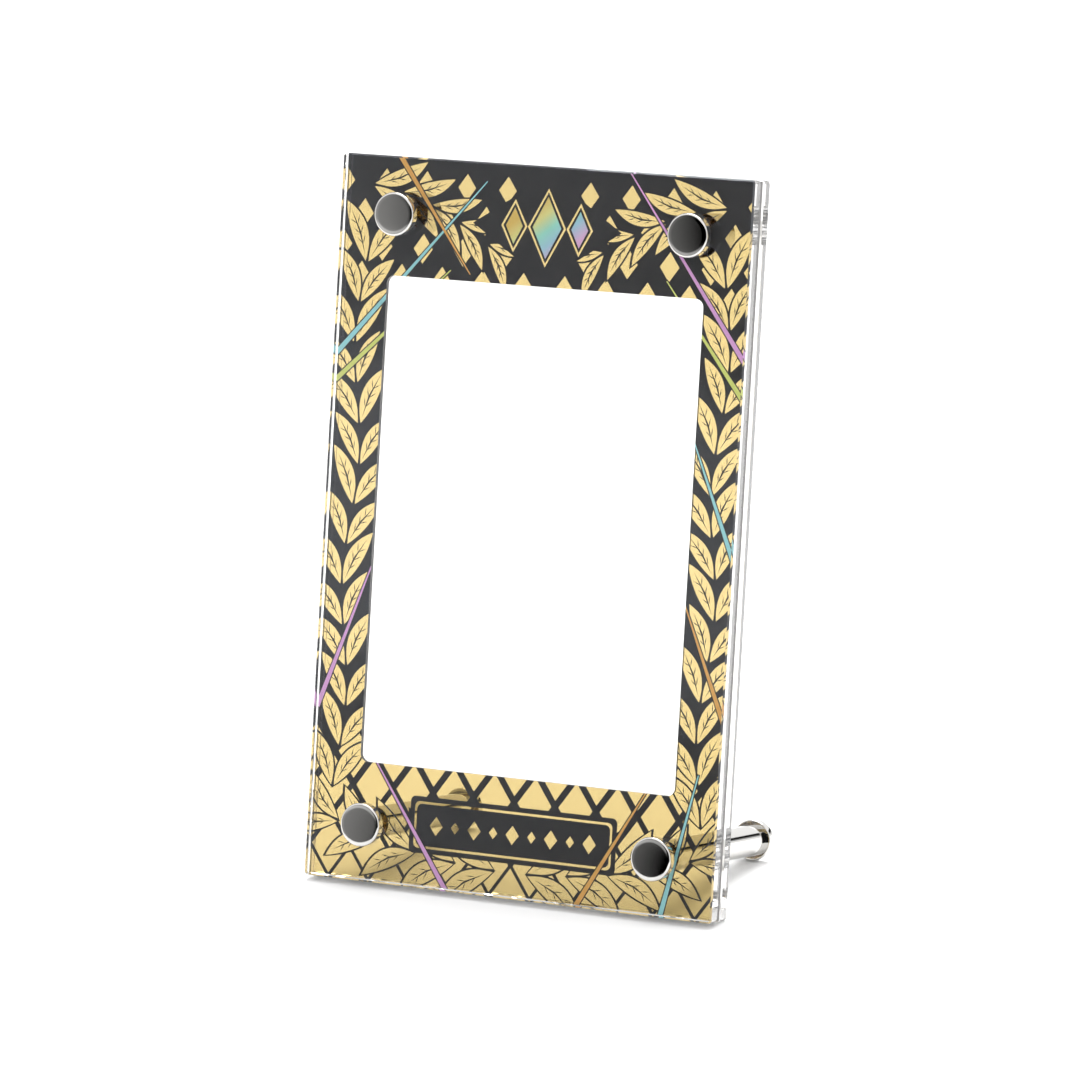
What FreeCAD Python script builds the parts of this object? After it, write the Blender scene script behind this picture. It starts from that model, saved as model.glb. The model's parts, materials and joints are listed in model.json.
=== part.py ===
import FreeCAD, Part
import math
import os

from FreeCAD import Vector

# A leaning frame for one trading card. Two clear plates hold a gold mirror sheet between them,
# and the opening in that sheet is the card's pocket. Four cap screws run through the corners.
# The upper two end in short cap nuts, and the lower two in long legs with a flange at the foot.
#
# Each piece is drawn lying flat: X across, Y up the frame from its lower edge, Z out of the
# front face, which is at Z = 0. Then the whole frame is stood up and leans back on its legs.

# Card and its pocket
card_width = 63.0
card_height = 88.0
card_clearance = 0.5
pocket_corner_radius = 1.5

# Clear plates, which reach past the pocket by a band on each side and at each end
side_band = 9.5
end_band = 21.75
front_plate_thickness = 2.8
rear_plate_thickness = 2.8
plate_edge_break = 0.3

# Mirror sheet and the air films on its two sides
sheet_thickness = 0.9
sheet_inset = 0.2
ink_thickness = 0.04
front_air_film = 0.03
rear_air_film = 0.03

# Cap screws and cap nuts
screw_side_inset = 11.9
screw_end_inset = 10.5
head_radius = 4.0
head_height = 1.7
head_rim_chamfer = 0.4
stud_radius = 1.45
stud_reach = 4.5
nut_radius = 4.0
nut_height = 6.0
nut_rim_chamfer = 0.4
seat_gap = 0.02
hole_clearance = 0.25
thread_clearance = 0.06
bore_end_clearance = 0.6

# Legs
leg_radius = 2.9
leg_length = 35.8
foot_radius = 3.8
foot_thickness = 1.8
foot_edge_chamfer = 0.25

# Print: a trellis of lozenges whose cells shrink towards the top
cell_width = 8.3
cell_height = 11.6
cell_fill_at_foot = 0.93
cell_fill_at_top = 0.42
cell_fill_power = 0.8
cell_band_overlap = 5.0

# Print: leaves, and the smallest patch of gold between dark shapes
smallest_gold = 1.8
outline_width = 0.32
stem_half_gap = 0.28
leaf_cuts = 4
vein_width = 0.34
vein_start = 0.16
vein_end = 0.78
side_leaf_length = 12.0
side_leaf_width = 3.4
side_leaf_pitch = 7.4
side_leaf_angle = 31.0
side_leaf_bend = 0.7
side_leaf_mean_share = 0.92
side_leaf_swing = 0.12
side_leaf_swing_turn = 3.1
side_stem_start = 16.8
side_stem_sway = 1.1
side_stem_wave = 44.0
foot_leaf_length = 13.5
foot_leaf_width = 3.9
foot_leaf_pitch = 7.2
foot_leaf_angle = 36.0
foot_leaf_bend = 1.2
foot_stem_start_off_middle = 3.5
foot_stem_start_height = 4.6
foot_stem_end_inset = 5.5
foot_stem_end_height = 10.5
foot_stem_rise = -1.2
top_leaf_length = 11.5
top_leaf_width = 2.8
top_leaf_pitch = 6.4
top_leaf_angle = 30.0
top_leaf_bend = 0.8
top_stem_start_inset = 6.0
top_stem_start_drop = 5.5
top_stem_end_off_middle = 11.5
top_stem_end_drop = 15.0
top_stem_rise = 1.6
stem_end_share = 0.75

# Print: plain plaque at the foot and dark ground at the top
plaque_half_width = 21.0
plaque_half_height = 5.2
plaque_centre_height = 11.4
plaque_line_width = 0.45
plaque_line_inset = 0.9
plaque_corner_radius = 1.0
bead_pitch = 3.9
bead_half_widths = (0.85, 1.35)
bead_slenderness = 1.3
beads_each_side = 4
ground_half_width = 15.0
ground_half_height = 9.6
ground_drop = 11.1
ornament_lozenges = ((0, 2.9, 5.6), (-6.6, 1.7, 3.3), (6.6, 1.7, 3.3))
ornament_outline = 0.5
ornament_frame = 0.95
ornament_slenderness = 1.6

# Print: straight foil needles. Each has a corner of the frame and its two points, given by how far
# they are from that corner's upright edge and from its level edge.
needle_width = 0.95
needle_tip_width = 0.2
needle_outline = 0.2
needles = {
    "lilac": (
        ("top_right", (0.0, 33.5), (25.5, 0.0)),
        ("bottom_left", (0.0, 31.0), (10.5, 60.0)),
        ("bottom_left", (28.5, 0.0), (11.5, 24.0)),
    ),
    "cyan": (
        ("top_left", (0.0, 36.5), (29.0, 3.5)),
        ("bottom_right", (0.0, 63.0), (10.0, 86.0)),
        ("bottom_right", (11.0, 0.0), (5.0, 26.0)),
    ),
    "lime": (
        ("top_left", (0.0, 41.5), (22.5, 20.0)),
        ("top_right", (0.0, 40.0), (17.0, 19.0)),
    ),
    "orange": (
        ("top_left", (11.0, 0.0), (26.5, 20.5)),
        ("bottom_right", (0.0, 34.0), (10.0, 57.0)),
        ("bottom_right", (28.0, 0.0), (14.5, 23.0)),
    ),
}

# Values that follow from the sizes above
pocket_width = card_width + 2 * card_clearance
pocket_height = card_height + 2 * card_clearance
frame_width = pocket_width + 2 * side_band
frame_height = pocket_height + 2 * end_band
half_width = frame_width / 2
sheet_front = -front_plate_thickness - front_air_film - ink_thickness
sheet_back = sheet_front - sheet_thickness
rear_plate_front = sheet_back - rear_air_film
stack_depth = -rear_plate_front + rear_plate_thickness
stud_length = stack_depth + seat_gap + stud_reach
bore_radius = stud_radius + thread_clearance
bore_depth = stud_reach + bore_end_clearance
hole_radius = stud_radius + hole_clearance
low_screw_y = screw_end_inset
high_screw_y = frame_height - screw_end_inset
ground_centre_height = frame_height - ground_drop

# Which way each corner lies from the middle of the frame
corner_ways = {"top_left": (-1, 1), "top_right": (1, 1), "bottom_left": (-1, -1), "bottom_right": (1, -1)}

# The frame rests on the rear plate's lower back edge and on the rims of the two feet
foot_lift = low_screw_y - foot_radius
foot_reach = leg_length + seat_gap - foot_edge_chamfer + plate_edge_break
lean = math.atan2(foot_lift, foot_reach)


def from_corner(corner, inset, distance):
    """Point at a distance from a corner's upright edge and from its level edge."""
    across, up = corner_ways[corner]
    return across * (half_width - inset), (1 + up) * frame_height / 2 - up * distance


screw_spots = {corner: from_corner(corner, screw_side_inset, screw_end_inset) for corner in corner_ways}


def rounded_outline(left, low, right, high, radius):
    """Closed wire of a rectangle with round corners, at Z = 0."""
    reach = radius * math.sqrt(0.5)
    corners = ((right - radius, low + radius, -45), (right - radius, high - radius, 45),
               (left + radius, high - radius, 135), (left + radius, low + radius, 225))
    arcs = []
    for x, y, middle in corners:
        ends = [math.radians(middle + turn) for turn in (-45, 0, 45)]
        arcs.append(Part.Arc(*[Vector(x + radius * math.cos(a), y + radius * math.sin(a), 0) for a in ends]))
    edges = []
    for arc, following in zip(arcs, arcs[1:] + arcs[:1]):
        edges += [arc.toShape(), Part.LineSegment(arc.EndPoint, following.StartPoint).toShape()]
    return Part.Wire(edges)


def ring_face(outer, inner):
    """Flat face between two closed outlines."""
    return Part.makeFace([outer, inner], "Part::FaceMakerBullseye")


def sheet_face():
    """Flat face of the mirror sheet, open over the pocket."""
    half = pocket_width / 2
    pocket = rounded_outline(-half, end_band, half, frame_height - end_band, pocket_corner_radius)
    across = half_width - sheet_inset
    low = sheet_inset
    high = frame_height - sheet_inset
    corners = [Vector(x, y, 0) for x, y in ((-across, low), (across, low), (across, high), (-across, high))]
    return ring_face(Part.makePolygon(corners + corners[:1]), pocket)


def turned(profile):
    """Solid turned about Z from a list of radius and height points."""
    points = [Vector(radius, 0, height) for radius, height in profile]
    return Part.Face(Part.makePolygon(points + points[:1])).revolve(Vector(0, 0, 0), Vector(0, 0, 1), 360)


def stud_holes(depth):
    """Cutters for the four screw holes."""
    start = Vector(0, 0, -depth)
    hole = Part.makeCylinder(hole_radius, 2 * depth, start)
    return [hole.translated(Vector(x, y, 0)) for x, y in screw_spots.values()]


def clear_plate(front, thickness):
    """Clear plate with broken edges all round, its front face at the given height."""
    blank = Part.makeBox(frame_width, frame_height, thickness, Vector(-half_width, 0, front - thickness))
    plate = blank.makeChamfer(plate_edge_break, blank.Edges)
    return plate.cut(stud_holes(stack_depth))


def mirror_sheet():
    """Thin mirror sheet whose opening is the card's pocket."""
    sheet = sheet_face().extrude(Vector(0, 0, -sheet_thickness)).translated(Vector(0, 0, sheet_front))
    return sheet.cut(stud_holes(stack_depth))


def cap_screw():
    """Cap screw with a chamfered rim and a plain stud, its head standing on the front face."""
    top = seat_gap + head_height
    tip = seat_gap - stud_length
    profile = [
        (0, tip), (stud_radius, tip), (stud_radius, seat_gap), (head_radius, seat_gap),
        (head_radius, top - head_rim_chamfer), (head_radius - head_rim_chamfer, top), (0, top),
    ]
    return turned(profile)


def cap_nut():
    """Round cap nut with a blind bore, seated on the rear face."""
    seat = -stack_depth - seat_gap
    end = seat - nut_height
    profile = [
        (bore_radius, seat), (nut_radius, seat), (nut_radius, end + nut_rim_chamfer),
        (nut_radius - nut_rim_chamfer, end), (0, end),
        (0, seat - bore_depth), (bore_radius, seat - bore_depth),
    ]
    return turned(profile)


def leg():
    """Turned leg with a blind bore at its root and a flanged foot."""
    seat = -stack_depth - seat_gap
    end = seat - leg_length
    shoulder = end + foot_thickness
    profile = [
        (bore_radius, seat), (leg_radius, seat), (leg_radius, shoulder),
        (foot_radius, shoulder), (foot_radius, end + foot_edge_chamfer),
        (foot_radius - foot_edge_chamfer, end), (0, end),
        (0, seat - bore_depth), (bore_radius, seat - bore_depth),
    ]
    return turned(profile)


def polygon(points):
    """Flat face through corner points."""
    corners = [Vector(x, y, 0) for x, y in points]
    return Part.Face(Part.makePolygon(corners + corners[:1]))


def lozenge(x, y, half_across, half_up):
    return polygon(((x + half_across, y), (x, y + half_up), (x - half_across, y), (x, y - half_up)))


def leaf(x, y, heading, length, width, bend):
    """A leaf, the same leaf grown by its dark outline, and its vein."""
    along = Vector(math.cos(heading), math.sin(heading), 0)
    sideways = Vector(-along.y, along.x, 0)
    base = Vector(x, y, 0)

    def blade(half, slack):
        """Outline out along one side and back along the other, bowed like the spine."""
        out = [share / leaf_cuts for share in range(leaf_cuts)]
        back = [1 - share for share in out]
        points = []
        for shares, side in ((out, 1), (back, -1)):
            for share in shares:
                bow = 4 * share * (1 - share)
                reach = length * share + slack * (2 * share - 1)
                points.append(base + along * reach + sideways * (bow * (bend + side * half)))
        return polygon([(point.x, point.y) for point in points])

    slack = outline_width / math.sin(math.atan(2 * width / length))
    middle = (vein_start + vein_end) / 2
    vein = []
    for share, half in ((vein_start, 0), (middle, vein_width / 2), (vein_end, 0), (middle, -vein_width / 2)):
        point = base + along * (length * share) + sideways * (4 * share * (1 - share) * bend + half)
        vein.append((point.x, point.y))
    return blade(width / 2, 0), blade(width / 2 + outline_width, slack), polygon(vein)


def spray(stations, length, width, angle, bend):
    """Leaves in pairs along a stem, given as points with a heading and a size share."""
    leaves = []
    for x, y, heading, share in stations:
        for side in (1, -1):
            away = heading + side * math.pi / 2
            turn = heading + side * math.radians(angle)
            root_x = x + stem_half_gap * math.cos(away)
            root_y = y + stem_half_gap * math.sin(away)
            leaves.append(leaf(root_x, root_y, turn, length * share, width * share, -side * bend * share))
    return leaves


def side_stations(side):
    """Stem that climbs one side of the frame in a slow wave."""
    stations = []
    count = int((high_screw_y - 2 * low_screw_y) / side_leaf_pitch)
    for step in range(count + 1):
        y = side_stem_start + step * side_leaf_pitch
        phase = 2 * math.pi * y / side_stem_wave
        x = side * (half_width - side_band / 2 + side_stem_sway * math.sin(phase))
        slope = side * side_stem_sway * math.cos(phase) * 2 * math.pi / side_stem_wave
        share = side_leaf_mean_share + side_leaf_swing * math.sin(side_leaf_swing_turn * step)
        stations.append((x, y, math.pi / 2 - math.atan(slope), share))
    return stations


def arched_stations(side, start, end, rise, pitch):
    """Stem that bows from one point to another, seen on one side of the frame's middle."""
    span = math.hypot(end[0] - start[0], end[1] - start[1])
    count = int(span / pitch)
    stations = []
    for step in range(count + 1):
        share = step / count
        x = start[0] + (end[0] - start[0]) * share
        y = start[1] + (end[1] - start[1]) * share + 4 * rise * share * (1 - share)
        slope_y = end[1] - start[1] + 4 * rise * (1 - 2 * share)
        heading = math.atan2(slope_y, side * (end[0] - start[0]))
        stations.append((side * x, y, heading, 1 + (stem_end_share - 1) * share))
    return stations


def all_leaves():
    """Leaves of the two climbing stems, the two low sprays and the two high sprays."""
    low_start = (foot_stem_start_off_middle, foot_stem_start_height)
    low_end = (half_width - foot_stem_end_inset, foot_stem_end_height)
    high_start = (half_width - top_stem_start_inset, frame_height - top_stem_start_drop)
    high_end = (top_stem_end_off_middle, frame_height - top_stem_end_drop)
    leaves = []
    for side in (1, -1):
        low = arched_stations(side, low_start, low_end, foot_stem_rise, foot_leaf_pitch)
        high = arched_stations(side, high_start, high_end, top_stem_rise, top_leaf_pitch)
        climbing = side_stations(side)
        leaves += spray(low, foot_leaf_length, foot_leaf_width, foot_leaf_angle, foot_leaf_bend)
        leaves += spray(high, top_leaf_length, top_leaf_width, top_leaf_angle, top_leaf_bend)
        leaves += spray(climbing, side_leaf_length, side_leaf_width, side_leaf_angle, side_leaf_bend)
    return leaves


def trellis():
    """Lozenges above and below the pocket, smaller at the top."""
    cells = []
    columns = int(half_width / cell_width) + 1
    rows = int(2 * frame_height / cell_height) + 1
    for row in range(rows):
        y = row * cell_height / 2
        if abs(y - frame_height / 2) < pocket_height / 2 - cell_band_overlap:
            continue
        fill = cell_fill_at_foot + (cell_fill_at_top - cell_fill_at_foot) * (y / frame_height) ** cell_fill_power
        for column in range(-columns, columns + 1):
            x = (column + (row % 2) / 2) * cell_width
            cells.append(lozenge(x, y, fill * cell_width / 2, fill * cell_height / 2))
    return cells


def needle(corner, start, end, grow):
    """Straight needle, wide at its start and fine at its end, grown sideways for its outline."""
    a = Vector(*from_corner(corner, *start), 0)
    b = Vector(*from_corner(corner, *end), 0)
    along = (b - a).normalize()
    sideways = Vector(-along.y, along.x, 0)
    wide = sideways * (needle_width / 2 + grow)
    fine = sideways * (needle_tip_width / 2 + grow)
    a = a - along * grow
    b = b + along * grow
    return polygon([(p.x, p.y) for p in (a - wide, b - fine, b + fine, a + wide)])


def ornament(grow):
    """Three foil lozenges in a row on the dark ground."""
    lift = ornament_slenderness * grow
    return [lozenge(x, ground_centre_height, a + grow, b + lift) for x, a, b in ornament_lozenges]


def plaque_outline(inset):
    return rounded_outline(-plaque_half_width + inset, plaque_centre_height - plaque_half_height + inset,
                           plaque_half_width - inset, plaque_centre_height + plaque_half_height - inset,
                           plaque_corner_radius)


def plaque_gold():
    """Gold line round the plaque and a row of small lozenges in it."""
    line = ring_face(plaque_outline(plaque_line_inset), plaque_outline(plaque_line_inset + plaque_line_width))
    beads = []
    for place in range(-beads_each_side, beads_each_side + 1):
        half = bead_half_widths[place % 2 == 0]
        beads.append(lozenge(bead_pitch * place, plaque_centre_height, half, bead_slenderness * half))
    return [line] + beads


def ground_gold():
    """Thin gold frames round the foil lozenges."""
    return [outer.cut(inner) for outer, inner in zip(ornament(ornament_frame), ornament(ornament_outline))]


def trimmed(face, covers):
    """What shows of a gold face outside everything that is printed over it."""
    box = face.BoundBox
    over = [cover for cover in covers if box.intersect(cover.BoundBox)]
    left = face.cut(over).Faces if over else [face]
    return [piece for piece in left if piece.Area > smallest_gold]


def printed_layers():
    """Flat faces of the black ink and of each foil colour, clipped to the mirror sheet."""
    spots = [Part.Face(Part.Wire(Part.makeCircle(hole_radius, Vector(x, y, 0)))) for x, y in screw_spots.values()]
    border = sheet_face().cut(spots)
    foils = {colour: [needle(*place, 0) for place in places] for colour, places in needles.items()}
    foils["rainbow"] = ornament(0)
    outlines = [needle(*place, needle_outline) for places in needles.values() for place in places]
    outlines += ornament(ornament_outline)
    ground = lozenge(0, ground_centre_height, ground_half_width, ground_half_height)
    covers = outlines + [ground, Part.Face(plaque_outline(0))]
    leaves = all_leaves()
    shadows = [grown for body, grown, vein in leaves]
    gold = []
    for order, (body, grown, vein) in enumerate(leaves):
        gold += trimmed(body, covers + [vein] + shadows[order + 1:])
    for cell in trellis():
        gold += trimmed(cell, covers + shadows)
    for line in plaque_gold() + ground_gold():
        gold += trimmed(line, outlines)
    foil_faces = [face for faces in foils.values() for face in faces]
    layers = {"black": border.cut(gold + foil_faces)}
    for colour, faces in foils.items():
        layers[colour] = Part.makeCompound(faces).common(border)
    return layers


def ink(layer):
    """Ink of one colour as flat solids on the mirror sheet's face."""
    solids = [face.extrude(Vector(0, 0, ink_thickness)) for face in layer.Faces]
    return Part.makeCompound(solids).translated(Vector(0, 0, sheet_front))


def stood(shape):
    """The piece in its place on the table, with the frame leaning back on its legs."""
    low = -(stack_depth - plate_edge_break) * math.sin(lean)
    rim = (seat_gap + head_height, low_screw_y - head_radius + head_rim_chamfer)
    front = rim[1] * math.sin(lean) - rim[0] * math.cos(lean)
    foot = (stack_depth + seat_gap + leg_length, low_screw_y + foot_radius - foot_edge_chamfer)
    back = foot[1] * math.sin(lean) + foot[0] * math.cos(lean)
    placed = shape.copy()
    placed.rotate(Vector(0, 0, 0), Vector(1, 0, 0), 90 - math.degrees(lean))
    return placed.translated(Vector(0, -(front + back) / 2, -low))


def at_spot(shape, name):
    x, y = screw_spots[name]
    return shape.translated(Vector(x, y, 0))


def pieces():
    """Every piece of the frame by name, lying flat."""
    made = {
        "front_plate": clear_plate(0, front_plate_thickness),
        "mirror_sheet": mirror_sheet(),
        "rear_plate": clear_plate(rear_plate_front, rear_plate_thickness),
    }
    for spot in screw_spots:
        made["cap_screw_" + spot] = at_spot(cap_screw(), spot)
    for side in ("left", "right"):
        made["cap_nut_" + side] = at_spot(cap_nut(), "top_" + side)
        made["leg_" + side] = at_spot(leg(), "bottom_" + side)
    for colour, layer in printed_layers().items():
        made["print_" + colour] = ink(layer)
    return made


os.makedirs("parts", exist_ok=True)
for name, shape in pieces().items():
    stood(shape).exportStep("parts/" + name + ".step")
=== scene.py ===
import json
import math

import bmesh
import bpy
from mathutils import Matrix, Vector
from mathutils.geometry import delaunay_2d_cdt


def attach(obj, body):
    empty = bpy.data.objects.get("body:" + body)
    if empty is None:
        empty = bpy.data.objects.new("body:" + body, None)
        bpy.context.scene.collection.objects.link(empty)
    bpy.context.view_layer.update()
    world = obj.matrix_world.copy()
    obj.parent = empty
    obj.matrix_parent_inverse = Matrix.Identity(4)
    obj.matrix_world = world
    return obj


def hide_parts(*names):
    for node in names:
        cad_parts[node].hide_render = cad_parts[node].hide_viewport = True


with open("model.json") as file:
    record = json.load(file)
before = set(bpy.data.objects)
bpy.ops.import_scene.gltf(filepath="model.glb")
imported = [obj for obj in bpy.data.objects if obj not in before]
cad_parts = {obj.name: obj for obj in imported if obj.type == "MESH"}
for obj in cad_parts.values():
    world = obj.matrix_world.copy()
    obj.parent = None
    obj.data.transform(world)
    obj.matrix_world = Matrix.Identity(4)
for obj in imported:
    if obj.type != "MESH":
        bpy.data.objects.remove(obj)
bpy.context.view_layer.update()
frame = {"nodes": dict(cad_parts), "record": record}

# Sizes of the turned pieces, in metres on the lying frame
mm = 0.001
screw_x = 29.6 * mm
low_screw_y = 10.5 * mm
high_screw_y = 122.0 * mm
stack_depth = 6.6 * mm
seat_gap = 0.02 * mm
head_radius = 4.0 * mm
head_height = 1.7 * mm
head_rim_round = 0.42 * mm
head_crown = 0.03 * mm
nut_rim_round = 0.42 * mm
stud_radius = 1.45 * mm
stud_reach = 4.5 * mm
bore_radius = 1.51 * mm
bore_depth = 5.1 * mm
nut_radius = 4.0 * mm
nut_height = 6.0 * mm
leg_radius = 2.9 * mm
leg_length = 35.8 * mm
foot_radius = 3.8 * mm
foot_thickness = 1.8 * mm
foot_edge_round = 0.28 * mm

# How finely round forms are cut
turn_steps = 96
round_steps = 10
crown_steps = 6
hole_cuts = 32
corner_cuts = 6
leaf_cuts = 12
sharp_turn = math.radians(30)

# Sizes of the plates and the sheet on the lying frame, in millimetres
half_width = 41.5
frame_height = 132.5
side_band = 9.5
end_band = 21.75
pocket_corner = 1.5
plate_thickness = 2.8
plate_edge_break = 0.3
plate_corner = 0.68
sheet_inset = 0.2
hole_radius = 1.7
weld_distance = 0.002

# Where the print lies on the lying frame, in metres
sheet_front = -2.87 * mm
ink_thickness = 0.04 * mm

# Sizes of a leaf in millimetres, and places on it as shares of its length
leaf_outline = 0.32
stem_half_gap = 0.28
vein_width = 0.34
vein_places = (0.1, 0.45, 0.84)
side_vein_width = 0.17
side_vein_roots = (0.26, 0.42, 0.58)
side_vein_run = 0.13
side_vein_reach = 0.62

# Leafy stems, in millimetres: two across the foot, two at the top, and one up each side
foot_stem = {"start": (3.5, 4.6), "end": (36.0, 10.5), "rise": -1.2, "pitch": 7.2}
foot_leaves = {"length": 13.5, "width": 3.9, "angle": 36, "bend": 1.2}
top_stem = {"start": (35.5, 127.0), "end": (11.5, 117.5), "rise": 1.6, "pitch": 6.4}
top_leaves = {"length": 11.5, "width": 2.8, "angle": 30, "bend": 0.8}
side_leaves = {"length": 12.0, "width": 3.4, "angle": 31, "bend": 0.7}
stem_taper = 0.25
climb_stations = 14
climb_start = 16.8
climb_pitch = 7.4
climb_wave = 1.1
climb_wave_length = 44.0
climb_leaf_share = 0.92
climb_leaf_swing = 0.12
climb_leaf_beat = 3.1

# Lozenge ground, in millimetres, which thins out towards the top and stops beside the pocket
ground_rows = 23
ground_row_pitch = 5.8
ground_columns = range(-6, 7)
ground_column_pitch = 8.3
ground_clear_height = 39.5
ground_fill = 0.93
ground_thinning = 0.51
ground_thinning_power = 0.8

# Ornament of three iridescent lozenges on a dark one, in millimetres
ornament_height = 121.4
ornament_field = (15.0, 9.6)
ornament_lozenges = ((0, 2.9, 5.6), (-6.6, 1.7, 3.3), (6.6, 1.7, 3.3))
ornament_layers = ((0.95, "gold"), (0.5, "black"), (0, "rainbow"))
ornament_slope = 1.6

# Dark plaque with a gold line and a row of beads, in millimetres
plaque_half_width = 21
plaque_low = 6.2
plaque_high = 16.6
plaque_corner = 1.0
plaque_layers = ((0, "black"), (0.9, "gold"), (1.35, "black"))
bead_places = range(-4, 5)
bead_pitch = 3.9
bead_height = 11.4
bead_halves = (1.35, 0.85)
bead_slope = 1.3

# Foil needles, in millimetres: each end is given from a corner as how far in and how far along
needle_outline = 0.2
needle_half_width = 0.475
needle_half_tip = 0.1
corner_ways = {"top_left": (-1, 1), "top_right": (1, 1), "bottom_left": (-1, -1), "bottom_right": (1, -1)}
needles = {
    "lilac": (
        ("top_right", (0.0, 33.5), (25.5, 0.0)),
        ("bottom_left", (0.0, 31.0), (10.5, 60.0)),
        ("bottom_left", (28.5, 0.0), (11.5, 24.0)),
    ),
    "cyan": (
        ("top_left", (0.0, 36.5), (29.0, 3.5)),
        ("bottom_right", (0.0, 63.0), (10.0, 86.0)),
        ("bottom_right", (11.0, 0.0), (5.0, 26.0)),
    ),
    "lime": (
        ("top_left", (0.0, 41.5), (22.5, 20.0)),
        ("top_right", (0.0, 40.0), (17.0, 19.0)),
    ),
    "orange": (
        ("top_left", (11.0, 0.0), (26.5, 20.5)),
        ("bottom_right", (0.0, 34.0), (10.0, 57.0)),
        ("bottom_right", (28.0, 0.0), (14.5, 23.0)),
    ),
}

# What the triangulation is asked for: only triangles inside the outlines, and how near two points are one
inside_triangles = 1
same_point = 1e-5

# How the frame stands: the lying frame is turned about X and set down on the table
lean = math.radians(10.580109)
stand_low = -1.156744 * mm
stand_middle = 21.927349 * mm
set_down = Matrix.Translation((0, -stand_middle, -stand_low))
stand = set_down @ Matrix.Rotation(math.pi / 2 - lean, 4, "X")

# Looks; a face within 60 degrees of the sheet's plane counts as a face of the sheet, by its cosine
white = (1, 1, 1, 1)
acrylic_index = 1.49
depth_tint = (0.10, 0.06, 0.0, 1)
depth_density = 2.5
gold = (0.52, 0.32, 0.063, 1)
gold_film_share = 0.1
sheet_edge_grey = (0.13, 0.125, 0.12, 1)
within_face = 0.5
foil_finish = {"Metallic": 0.1, "Roughness": 0.3}
rainbow_slant = (60, 0, -80)
rainbow_start = 10.05
rainbow_stops = (
    (0.0, (0.98, 0.70, 0.20)), (0.25, (0.98, 0.95, 0.38)), (0.5, (0.45, 0.97, 0.82)),
    (0.72, (0.50, 0.82, 0.98)), (1.0, (0.97, 0.60, 0.92)),
)

# Surroundings: half the table's side in metres, and a sky whose strength grows with the direction's height
table_half_size = 6
sky_heights = (0.0, 0.3)
sky_strengths = (1.1, 1.2)

# Studio cards: half a card before it is sized, and a soft bright band, whose points are heights in metres
# above a line that lies band_zero below the card's middle, each with the share of the band's strength
card_half = 0.5
band_zero = 0.5
haze_band = ((0.35, 0), (0.40, 1), (0.48, 1), (0.53, 0))

# Camera, solved from the photo with the card's pocket as the known size
camera_place = Vector((0.55491673, -1.06502929, 0.35715401))
camera_back = Vector((0.45012173, -0.86068522, 0.23793146))
camera_sensor = 36
camera_lens = 227.2233
camera_clip = 0.05
camera_roll = math.radians(-1.6045)

# How many times light may pass or mirror before it is dropped
light_bounces = 64


def set_inputs(node, values):
    """Gives a node's inputs their values by name."""
    for name, value in values.items():
        node.inputs[name].default_value = value


def material(name, values):
    """A material with one Principled shader."""
    made = bpy.data.materials.new(name)
    made.use_nodes = True
    set_inputs(made.node_tree.nodes["Principled BSDF"], values)
    return made


def math_node(tree, operation, *values):
    """Output of a Math node, whose inputs are numbers or other nodes' outputs."""
    node = tree.nodes.new("ShaderNodeMath")
    node.operation = operation
    for socket, value in zip(node.inputs, values):
        if isinstance(value, bpy.types.NodeSocket):
            tree.links.new(value, socket)
        else:
            socket.default_value = value
    return node.outputs[0]


def dot_product(tree, vector, other):
    """Output of a node that takes the dot product of a node's vector with a fixed one."""
    node = tree.nodes.new("ShaderNodeVectorMath")
    node.operation = "DOT_PRODUCT"
    node.inputs[1].default_value = other
    tree.links.new(vector, node.inputs[0])
    return node.outputs["Value"]


def colour_mix(tree, factor):
    """A node that mixes colour A into colour B."""
    node = tree.nodes.new("ShaderNodeMix")
    node.data_type = "RGBA"
    tree.links.new(factor, node.inputs["Factor"])
    return node


def map_range(tree, value, span, result):
    """Output of a node that takes one span of values to another."""
    node = tree.nodes.new("ShaderNodeMapRange")
    set_inputs(node, dict(zip(("From Min", "From Max", "To Min", "To Max"), (*span, *result))))
    tree.links.new(value, node.inputs["Value"])
    return node.outputs["Result"]


def acrylic():
    """Clear acrylic, which darkens a little with depth."""
    made = material("clear_acrylic", {
        "Base Color": white, "Roughness": 0.0, "IOR": acrylic_index, "Transmission Weight": 1.0,
        "Specular Tint": (0.75, 0.80, 0.90, 1),
    })
    tree = made.node_tree
    depth = tree.nodes.new("ShaderNodeVolumeAbsorption")
    set_inputs(depth, {"Color": depth_tint, "Density": depth_density})
    tree.links.new(depth.outputs[0], tree.nodes["Material Output"].inputs["Volume"])
    return made


def gold_mirror():
    """Half-clear gold film on the front face of a clear sheet, whose edges are grey."""
    made = material("gold_mirror", {
        "Roughness": 0.02, "IOR": acrylic_index, "Specular Tint": (0.8, 0.8, 0.8, 1),
    })
    tree = made.node_tree
    shader = tree.nodes["Principled BSDF"]
    geometry = tree.nodes.new("ShaderNodeNewGeometry")
    facing = dot_product(tree, geometry.outputs["True Normal"], (0, -math.cos(lean), math.sin(lean)))
    side = math_node(tree, "MULTIPLY_ADD", geometry.outputs["Backfacing"], -2, 1)
    outward = math_node(tree, "MULTIPLY", facing, side)
    front = math_node(tree, "GREATER_THAN", outward, within_face)
    flat = math_node(tree, "GREATER_THAN", math_node(tree, "ABSOLUTE", facing), within_face)
    film = math_node(tree, "MULTIPLY", front, gold_film_share)
    tree.links.new(flat, shader.inputs["Transmission Weight"])
    tree.links.new(film, shader.inputs["Metallic"])
    clear = colour_mix(tree, flat)
    clear.inputs["A"].default_value = sheet_edge_grey
    clear.inputs["B"].default_value = white
    gilded = colour_mix(tree, front)
    gilded.inputs["B"].default_value = gold
    tree.links.new(clear.outputs["Result"], gilded.inputs["A"])
    tree.links.new(gilded.outputs["Result"], shader.inputs["Base Color"])
    return made


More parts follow.
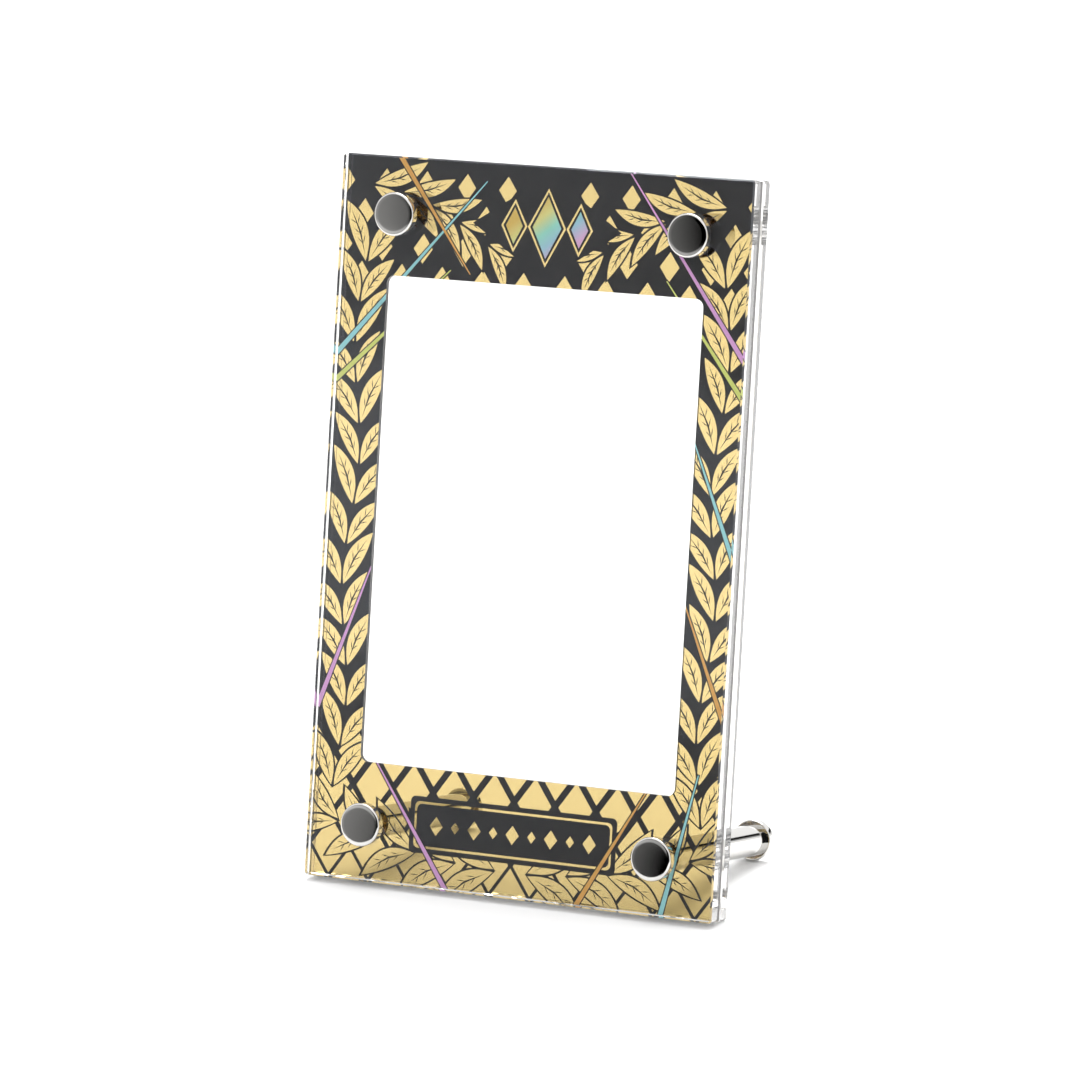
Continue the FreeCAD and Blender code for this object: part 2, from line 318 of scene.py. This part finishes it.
def foil(name, colour):
    """Printed foil of one colour."""
    return material(name, {"Base Color": (*colour, 1), **foil_finish})


def rainbow_foil():
    """Foil whose colour runs from orange through yellow and cyan to pink, down and across each lozenge."""
    made = material("rainbow_foil", foil_finish)
    tree = made.node_tree
    place = tree.nodes.new("ShaderNodeTexCoord")
    slant = dot_product(tree, place.outputs["Object"], rainbow_slant)
    ramp = tree.nodes.new("ShaderNodeValToRGB")
    stops = ramp.color_ramp.elements
    for stop, (position, colour) in zip((stops[0], stops[1]), (rainbow_stops[0], rainbow_stops[-1])):
        stop.position = position
        stop.color = (*colour, 1)
    for position, colour in rainbow_stops[1:-1]:
        stops.new(position).color = (*colour, 1)
    tree.links.new(math_node(tree, "ADD", slant, rainbow_start), ramp.inputs["Fac"])
    tree.links.new(ramp.outputs["Color"], tree.nodes["Principled BSDF"].inputs["Base Color"])
    return made


materials = {
    "clear_acrylic": acrylic(),
    "gold_mirror": gold_mirror(),
    "black_ink": material("black_ink", {
        "Base Color": (0.060, 0.060, 0.063, 1), "Roughness": 0.4, "Specular IOR Level": 0.1}),
    "lilac_foil": foil("lilac_foil", (0.95, 0.52, 0.95)),
    "cyan_foil": foil("cyan_foil", (0.45, 0.92, 0.97)),
    "lime_foil": foil("lime_foil", (0.90, 0.97, 0.28)),
    "orange_foil": foil("orange_foil", (0.98, 0.54, 0.15)),
    "rainbow_foil": rainbow_foil(),
    "polished_steel": material("polished_steel", {
        "Base Color": (0.68, 0.67, 0.65, 1), "Metallic": 1.0, "Roughness": 0.05}),
}
for row in frame["record"]["subparts"]:
    node = frame["nodes"][row["node"]]
    node.data.materials.clear()
    node.data.materials.append(materials[row["material_slot"]])


def soften(work):
    """Smooth shading, apart from edges that turn sharply."""
    bmesh.ops.recalc_face_normals(work, faces=work.faces)
    for face in work.faces:
        face.smooth = True
    for edge in work.edges:
        edge.smooth = edge.calc_face_angle(0) < sharp_turn


def into_scene(name, work):
    """A new object of the scene with the worked mesh."""
    mesh = bpy.data.meshes.new(name)
    work.to_mesh(mesh)
    work.free()
    made = bpy.data.objects.new(name, mesh)
    bpy.context.scene.collection.objects.link(made)
    return made


def stand_for(piece, node, slot):
    """Lets a piece take the place of a CAD node, in one material."""
    piece.data.materials.append(materials[slot])
    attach(piece, "root")
    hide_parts(node)


def round_corner(radius, height, size, up):
    """Points of a quarter round at an outer corner, from its side to its face."""
    points = []
    for step in range(round_steps + 1):
        turn = math.pi / 2 * step / round_steps
        points.append((radius + size * (math.cos(turn) - 1), height + up * size * (math.sin(turn) - 1)))
    return points


def turned(name, node, profile, spot):
    """A piece turned about its screw's axis that stands for a CAD node."""
    work = bmesh.new()
    rings = []
    for radius, height in profile:
        if radius == 0:
            rings.append([work.verts.new((0, 0, height))])
            continue
        ring = []
        for step in range(turn_steps):
            turn = 2 * math.pi * step / turn_steps
            ring.append(work.verts.new((radius * math.cos(turn), radius * math.sin(turn), height)))
        rings.append(ring)
    for low, high in zip(rings, rings[1:]):
        for step in range(turn_steps):
            after = (step + 1) % turn_steps
            if len(low) == 1:
                work.faces.new((low[0], high[after], high[step]))
            elif len(high) == 1:
                work.faces.new((low[step], low[after], high[0]))
            else:
                work.faces.new((low[step], low[after], high[after], high[step]))
    soften(work)
    work.transform(stand @ Matrix.Translation(spot))
    stand_for(into_scene(name, work), node, "polished_steel")


def cap_profile():
    """Cap screw from its tip up to its face, which has a round rim and a very slight crown."""
    top = seat_gap + head_height
    tip = seat_gap - (stack_depth + seat_gap + stud_reach)
    rim = round_corner(head_radius, top - head_crown, head_rim_round, 1)
    flat_radius = head_radius - head_rim_round
    crown = []
    for step in range(1, crown_steps + 1):
        share = 1 - step / crown_steps
        crown.append((flat_radius * share, top - head_crown * share * share))
    return [(0, tip), (stud_radius, tip), (stud_radius, seat_gap), (head_radius, seat_gap)] + rim + crown


def bore_profile(seat):
    """Blind bore from its end out to the face that seats on the rear plate."""
    return [(0, seat - bore_depth), (bore_radius, seat - bore_depth), (bore_radius, seat)]


def nut_profile():
    """Cap nut from the end of its bore round to its face, which has a round rim."""
    seat = -stack_depth - seat_gap
    end = seat - nut_height
    rim = round_corner(nut_radius, end, nut_rim_round, -1)
    return bore_profile(seat) + [(nut_radius, seat)] + rim + [(0, end)]


def leg_profile():
    """Leg from the end of its bore along its stem to its wider foot, which has round edges."""
    seat = -stack_depth - seat_gap
    end = seat - leg_length
    shoulder = end + foot_thickness
    rim = round_corner(foot_radius, end, foot_edge_round, -1)
    back = round_corner(foot_radius, shoulder, foot_edge_round, 1)
    return bore_profile(seat) + [(leg_radius, seat), (leg_radius, shoulder)] + back[::-1] + rim + [(0, end)]


for side, x in (("left", -screw_x), ("right", screw_x)):
    for level, y in (("top", high_screw_y), ("bottom", low_screw_y)):
        name = "_".join(("cap_screw", level, side))
        turned("turned_" + name, name, cap_profile(), Vector((x, y, 0)))
    turned("turned_nut_" + side, "cap_nut_" + side, nut_profile(), Vector((x, high_screw_y, 0)))
    turned("turned_leg_" + side, "leg_" + side, leg_profile(), Vector((x, low_screw_y, 0)))


def lozenge(x, y, across, up):
    """Outline of a lozenge, given by its middle and its half sizes."""
    return [(x + across, y), (x, y + up), (x - across, y), (x, y - up)]


def disc(x, y, radius):
    """Outline of a disc."""
    turns = [math.tau * step / hole_cuts for step in range(hole_cuts)]
    return [(x + radius * math.cos(turn), y + radius * math.sin(turn)) for turn in turns]


def rounded(left, low, right, high, radius):
    """Outline of a rectangle with round corners."""
    points = []
    for x, y, start in ((right - radius, low + radius, -90), (right - radius, high - radius, 0),
                        (left + radius, high - radius, 90), (left + radius, low + radius, 180)):
        for step in range(corner_cuts + 1):
            turn = math.radians(start + 90 / corner_cuts * step)
            points.append((x + radius * math.cos(turn), y + radius * math.sin(turn)))
    return points


def leaf(x, y, heading, length, width, bend):
    """Dark outline, gold blade and dark veins of one leaf."""
    along = Vector((math.cos(heading), math.sin(heading)))
    sideways = Vector((-along.y, along.x))
    base = Vector((x, y))

    def bow(share):
        return 4 * share * (1 - share)

    def at(share, off):
        return base + along * (length * share) + sideways * (bow(share) * bend + off)

    def blade(half, slack):
        points = []
        for side in (1, -1):
            for step in range(leaf_cuts):
                share = step / leaf_cuts if side > 0 else 1 - step / leaf_cuts
                off = side * 4 * share * (1 - share) * half
                points.append(at(share, off) + along * (slack * (2 * share - 1)))
        return [tuple(point) for point in points]

    def rib(start, middle, end, thick):
        """Sliver that runs through a middle point, widest there."""
        across = (end - start).normalized()
        across = Vector((-across.y, across.x)) * (thick / 2)
        return [tuple(point) for point in (start, middle - across, end, middle + across)]

    slack = leaf_outline / math.sin(math.atan(2 * width / length))
    shapes = [("black", blade(width / 2 + leaf_outline, slack)), ("gold", blade(width / 2, 0))]
    shapes.append(("black", rib(*(at(share, 0) for share in vein_places), vein_width)))
    for root in side_vein_roots:
        for side in (1, -1):
            start = at(root, 0)
            end = at(root + side_vein_run, side * side_vein_reach * width / 2 * 4 * root * (1 - root))
            shapes.append(("black", rib(start, (start + end) / 2, end, side_vein_width)))
    return shapes


def spray(stations, length, width, angle, bend):
    """Leaves in pairs along a stem, given as points with a heading and a size share."""
    shapes = []
    for x, y, heading, share in stations:
        for side in (1, -1):
            away = heading + side * math.pi / 2
            root_x = x + stem_half_gap * math.cos(away)
            root_y = y + stem_half_gap * math.sin(away)
            turn = heading + side * math.radians(angle)
            shapes += leaf(root_x, root_y, turn, length * share, width * share, -side * bend * share)
    return shapes


def climbing_stem(side):
    """Stem that climbs one side of the frame in a slow wave."""
    stations = []
    for step in range(climb_stations):
        y = climb_start + climb_pitch * step
        phase = math.tau * y / climb_wave_length
        slope = side * climb_wave * math.cos(phase) * math.tau / climb_wave_length
        x = side * (half_width - side_band / 2 + climb_wave * math.sin(phase))
        share = climb_leaf_share + climb_leaf_swing * math.sin(climb_leaf_beat * step)
        stations.append((x, y, math.pi / 2 - math.atan(slope), share))
    return stations


def arched_stem(side, start, end, rise, pitch):
    """Stem that bows from one point to another."""
    count = int(math.hypot(end[0] - start[0], end[1] - start[1]) / pitch)
    stations = []
    for step in range(count + 1):
        share = step / count
        x = start[0] + (end[0] - start[0]) * share
        y = start[1] + (end[1] - start[1]) * share + 4 * rise * share * (1 - share)
        slope = end[1] - start[1] + 4 * rise * (1 - 2 * share)
        heading = math.atan2(slope, side * (end[0] - start[0]))
        stations.append((side * x, y, heading, 1 - stem_taper * share))
    return stations


def from_corner(corner, inset, distance):
    """The point that lies so far in from a corner's side and so far along it."""
    across, up = corner_ways[corner]
    return Vector((across * (half_width - inset), (1 + up) * frame_height / 2 - up * distance))


def needle(corner, start, end, grow):
    """Outline of a straight needle, wider at its start, grown on all sides."""
    a, b = from_corner(corner, *start), from_corner(corner, *end)
    along = (b - a).normalized()
    sideways = Vector((-along.y, along.x))
    wide, fine = sideways * (needle_half_width + grow), sideways * (needle_half_tip + grow)
    a, b = a - along * grow, b + along * grow
    return [tuple(point) for point in (a - wide, b - fine, b + fine, a + wide)]


def screw_holes():
    """Outlines of the four screw holes."""
    return [disc(x / mm, y / mm, hole_radius) for x in (-screw_x, screw_x) for y in (low_screw_y, high_screw_y)]


def printed_shapes():
    """Every flat shape of the print with its colour, each lying over those before it."""
    left, right = -half_width + sheet_inset, half_width - sheet_inset
    low, high = sheet_inset, frame_height - sheet_inset
    shapes = [("black", [(left, low), (right, low), (right, high), (left, high)])]
    for row in range(ground_rows):
        y = ground_row_pitch * row
        if abs(y - frame_height / 2) < ground_clear_height:
            continue
        fill = ground_fill - ground_thinning * (y / frame_height) ** ground_thinning_power
        for column in ground_columns:
            x = (column + row % 2 / 2) * ground_column_pitch
            shapes.append(("gold", lozenge(x, y, fill * (ground_column_pitch / 2), fill * ground_row_pitch)))
    for side in (1, -1):
        shapes += spray(arched_stem(side, **foot_stem), **foot_leaves)
        shapes += spray(arched_stem(side, **top_stem), **top_leaves)
        shapes += spray(climbing_stem(side), **side_leaves)
    shapes.append(("black", lozenge(0, ornament_height, *ornament_field)))
    for inset, colour in plaque_layers:
        shapes.append((colour, rounded(-plaque_half_width + inset, plaque_low + inset,
                                       plaque_half_width - inset, plaque_high - inset, plaque_corner)))
    for place in bead_places:
        half = bead_halves[place % 2]
        shapes.append(("gold", lozenge(bead_pitch * place, bead_height, half, bead_slope * half)))
    for x, across, up in ornament_lozenges:
        for grow, colour in ornament_layers:
            shapes.append((colour, lozenge(x, ornament_height, across + grow, up + ornament_slope * grow)))
    for places in needles.values():
        shapes += [("black", needle(*place, needle_outline)) for place in places]
    for colour, places in needles.items():
        shapes += [(colour, needle(*place, 0)) for place in places]
    half = half_width - side_band
    shapes.append(("none", rounded(-half, end_band, half, frame_height - end_band, pocket_corner)))
    return shapes + [("none", hole) for hole in screw_holes()]


def overlaid(shapes):
    """Corner points, and the triangles that show of each colour."""
    points, faces = [], []
    for colour, outline in shapes:
        turning = sum(a[0] * b[1] - a[1] * b[0] for a, b in zip(outline, outline[1:] + outline[:1]))
        ordered = outline if turning > 0 else outline[::-1]
        faces.append(list(range(len(points), len(points) + len(ordered))))
        points += [Vector(point) for point in ordered]
    cut = delaunay_2d_cdt(points, [], faces, inside_triangles, same_point, True)
    corners, triangles, under = cut[0], cut[2], cut[5]
    shown = {}
    for triangle, sources in zip(triangles, under):
        if 0 in sources:
            shown.setdefault(shapes[max(sources)][0], []).append(triangle)
    return corners, shown


def inked(colour, corners, triangles):
    """Ink of one colour on the mirror sheet's face, which stands for its CAD node."""
    work = bmesh.new()
    points = {}
    for triangle in triangles:
        for index in triangle:
            if index not in points:
                points[index] = work.verts.new((corners[index].x * mm, corners[index].y * mm, sheet_front))
        work.faces.new([points[index] for index in triangle])
    grown = bmesh.ops.extrude_face_region(work, geom=work.faces[:], use_keep_orig=True)
    lifted = [item for item in grown["geom"] if isinstance(item, bmesh.types.BMVert)]
    bmesh.ops.translate(work, verts=lifted, vec=(0, 0, ink_thickness))
    bmesh.ops.recalc_face_normals(work, faces=work.faces)
    work.transform(stand)
    slot = colour + ("_ink" if colour == "black" else "_foil")
    stand_for(into_scene("ink_" + colour, work), "print_" + colour, slot)


print_corners, print_triangles = overlaid(printed_shapes())
for colour in ("black", "lilac", "cyan", "lime", "orange", "rainbow"):
    inked(colour, print_corners, print_triangles[colour])


def clear_plate(name, node, front):
    """Clear plate with round corners, broken edges and four screw holes, which stands for its CAD node."""
    back = front - plate_thickness
    rims = []
    for inset, height in ((plate_edge_break, front), (0, front - plate_edge_break),
                          (0, back + plate_edge_break), (plate_edge_break, back)):
        outline = rounded(-half_width + inset, inset,
                          half_width - inset, frame_height - inset, plate_corner - inset)
        rims.append([(x, y, height) for x, y in outline])
    holes = screw_holes()
    flat = [(x, y) for x, y, height in rims[0]]
    corners, shown = overlaid([("plate", flat)] + [("none", hole) for hole in holes])
    work = bmesh.new()

    def wall(one, other):
        for a, b, c, d in zip(one, one[1:] + one[:1], other[1:] + other[:1], other):
            work.faces.new([work.verts.new(point) for point in (a, b, c, d)])

    for triangle in shown["plate"]:
        for height in (front, back):
            work.faces.new([work.verts.new((corners[index].x, corners[index].y, height)) for index in triangle])
    for one, other in zip(rims, rims[1:]):
        wall(one, other)
    for hole in holes:
        wall([(x, y, front) for x, y in hole], [(x, y, back) for x, y in hole])
    bmesh.ops.remove_doubles(work, verts=work.verts, dist=weld_distance)
    soften(work)
    work.transform(stand @ Matrix.Scale(mm, 4))
    stand_for(into_scene(name, work), node, "clear_acrylic")


clear_plate("front_clear_plate", "front_plate", 0)
clear_plate("rear_clear_plate", "rear_plate", plate_thickness - stack_depth / mm)


def grid(name, size, transform):
    """A flat rectangle, from a square given by half its side."""
    work = bmesh.new()
    bmesh.ops.create_grid(work, x_segments=1, y_segments=1, size=size)
    work.transform(transform)
    return into_scene(name, work)


def table():
    """Pale table top that the frame stands on."""
    top = grid("table_top", table_half_size, Matrix())
    top.data.materials.append(material("pale_table", {"Base Color": (0.93, 0.93, 0.93, 1), "Roughness": 0.8}))


def soft_light(name, place, aim, size, power):
    """Rectangular lamp that points at a spot."""
    data = bpy.data.lights.new(name, "AREA")
    data.shape = "RECTANGLE"
    data.size, data.size_y = size
    data.energy = power
    light = bpy.data.objects.new(name, data)
    light.location = place
    light.rotation_mode = "QUATERNION"
    light.rotation_quaternion = (Vector(aim) - Vector(place)).to_track_quat("-Z", "Y")
    bpy.context.scene.collection.objects.link(light)


def studio_card(name, centre, size, shades, through=False, haze=0):
    """Card that shows in polished surfaces, shaded from side to side, with a soft bright band."""
    card = grid(name, card_half, Matrix.Diagonal((*size, 1, 1)))
    facing = Vector((-centre[0], -centre[1], 0)).to_track_quat("Z", "Y").to_matrix().to_4x4()
    card.matrix_world = Matrix.Translation(centre) @ facing
    made = bpy.data.materials.new(name)
    made.use_nodes = True
    tree = made.node_tree
    place = tree.nodes.new("ShaderNodeTexCoord")
    split = tree.nodes.new("ShaderNodeSeparateXYZ")
    tree.links.new(place.outputs["Object"], split.inputs[0])
    shade = map_range(tree, split.outputs["X"], *shades)
    band = tree.nodes.new("ShaderNodeFloatCurve")
    curve = band.mapping.curves[0]
    curve.points[0].location = (0, 0)
    curve.points[1].location = (1, 0)
    for spot in haze_band:
        curve.points.new(*spot)
    band.mapping.update()
    tree.links.new(math_node(tree, "ADD", split.outputs["Y"], band_zero), band.inputs["Value"])
    glow = tree.nodes.new("ShaderNodeEmission")
    strength = math_node(tree, "MULTIPLY_ADD", band.outputs[0], haze, shade)
    tree.links.new(strength, glow.inputs["Strength"])
    tree.links.new(glow.outputs[0], tree.nodes["Material Output"].inputs["Surface"])
    card.data.materials.append(made)
    card.visible_camera = card.visible_diffuse = card.visible_shadow = False
    card.visible_transmission = through


def backdrop():
    """White surroundings: full white where they are seen, and brighter higher up for all other rays."""
    world = bpy.data.worlds.new("white_surroundings")
    bpy.context.scene.world = world
    world.use_nodes = True
    tree = world.node_tree
    ray = tree.nodes.new("ShaderNodeLightPath")
    seen = math_node(tree, "MAXIMUM", ray.outputs["Is Camera Ray"], ray.outputs["Is Transmission Ray"])
    plain = tree.nodes.new("ShaderNodeBackground")
    set_inputs(plain, {"Color": white, "Strength": 1.0})
    place = tree.nodes.new("ShaderNodeTexCoord")
    split = tree.nodes.new("ShaderNodeSeparateXYZ")
    tree.links.new(place.outputs["Generated"], split.inputs[0])
    light = tree.nodes.new("ShaderNodeBackground")
    set_inputs(light, {"Color": white})
    tree.links.new(map_range(tree, split.outputs["Z"], sky_heights, sky_strengths), light.inputs["Strength"])
    mix = tree.nodes.new("ShaderNodeMixShader")
    tree.links.new(seen, mix.inputs["Fac"])
    tree.links.new(light.outputs[0], mix.inputs[1])
    tree.links.new(plain.outputs[0], mix.inputs[2])
    output = tree.nodes.get("World Output") or tree.nodes.new("ShaderNodeOutputWorld")
    tree.links.new(mix.outputs[0], output.inputs["Surface"])


def camera():
    """Camera in front of the frame's right side, rolled a little."""
    data = bpy.data.cameras.new("camera")
    data.sensor_width = camera_sensor
    data.lens = camera_lens
    data.clip_start = camera_clip
    made = bpy.data.objects.new("camera", data)
    made.rotation_mode = "QUATERNION"
    level = camera_back.to_track_quat("Z", "Y")
    made.rotation_quaternion = level @ Matrix.Rotation(camera_roll, 4, "Z").to_quaternion()
    made.location = camera_place
    bpy.context.scene.collection.objects.link(made)
    bpy.context.scene.camera = made


table()
backdrop()
# Each card: its centre and size in metres, where its shade starts and ends across it, and the strengths there
studio_card("card_mirrored", (-0.72, -1.42, 0.27), (0.42, 0.7), ((-0.125, 0.18), (0.0, 0.37)), True, 0.45)
studio_card("card_front_left", (-0.99, -1.33, 0.27), (1.95, 1.0), ((-0.42, 0.2), (0.0, 0.87)))
studio_card("card_by_camera", (0.56, -1.46, 0.45), (1.7, 1.1), ((-1, 1), (0.01, 0.01)))
studio_card("card_behind", (0.6, 1.7, 0.30), (0.9, 0.14), ((-1, 1), (0.01, 0.01)))
studio_card("card_behind_low", (0.6, 1.7, 0.185), (0.9, 0.09), ((-1, 1), (0.35, 0.35)))
soft_light("key_light", (-0.05, 0.26, 0.78), (0, 0.10, 0), (0.6, 0.6), 5.5)
camera()

scene = bpy.context.scene
scene.view_settings.view_transform = "Standard"
scene.cycles.max_bounces = light_bounces
scene.cycles.transmission_bounces = light_bounces
scene.cycles.glossy_bounces = light_bounces
